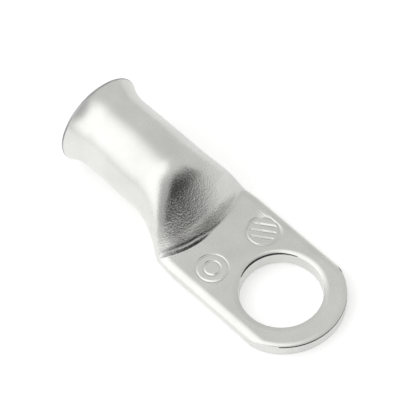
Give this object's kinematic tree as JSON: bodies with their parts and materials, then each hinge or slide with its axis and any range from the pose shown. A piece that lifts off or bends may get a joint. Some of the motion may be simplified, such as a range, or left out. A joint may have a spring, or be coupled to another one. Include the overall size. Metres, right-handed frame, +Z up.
{
  "type": "cable lug",
  "caption": "Tin-plated copper tube cable lug: round barrel with a flared mouth, a sloping nose and a flat palm with a stud hole and a round tip.",
  "frame": {"origin": "centre of the stud hole in the underside of the palm", "axes": "+X along the lug from the stud hole to the flared mouth, +Z up out of the palm's upper face, Y across the palm"},
  "size_m": [0.054, 0.0204, 0.0162],
  "materials": {
    "tinned_copper": "satin tin plate over copper"
  },
  "bodies": {
    "root": {"cable_lug": "tinned_copper"}
  },
  "joints": []
}
